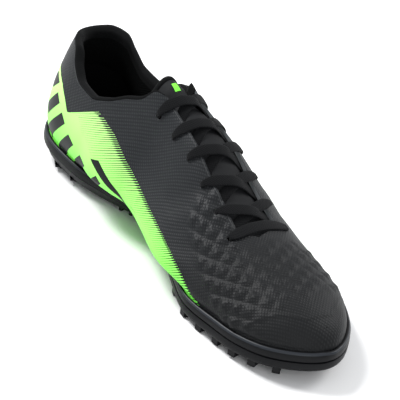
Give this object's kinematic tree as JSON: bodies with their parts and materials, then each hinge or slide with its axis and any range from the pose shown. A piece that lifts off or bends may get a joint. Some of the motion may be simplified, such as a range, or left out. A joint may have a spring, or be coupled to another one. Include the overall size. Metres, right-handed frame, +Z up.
{
  "type": "turf shoe",
  "caption": "Low turf football shoe for the left foot with a moulded upper, cupped rubber sole with studded tread, padded tongue, collar lining and crossed flat laces.",
  "frame": {"origin": "on the ground, under the middle of the whole shoe's box", "axes": "+X from heel to toe, +Y towards the wearer's left (outer) side, +Z up"},
  "size_m": [0.2836, 0.1, 0.1008],
  "materials": {
    "upper": "coated synthetic, fine weave texture, satin",
    "lining": "knitted mesh",
    "tongue": "coated textile",
    "insole": "brushed textile",
    "outsole": "moulded, satin",
    "outsole_panel": "moulded, satin",
    "lace": "flat woven"
  },
  "bodies": {
    "root": {"upper": "upper", "collar_lining": "lining", "tongue": "tongue", "insole": "insole", "outsole": "outsole", "outsole_panel": "outsole_panel", "lace_bar": "lace", "lace_crossing_1": "lace", "lace_crossing_2": "lace", "lace_crossing_3": "lace", "lace_crossing_4": "lace", "lace_crossing_5": "lace"}
  },
  "joints": []
}
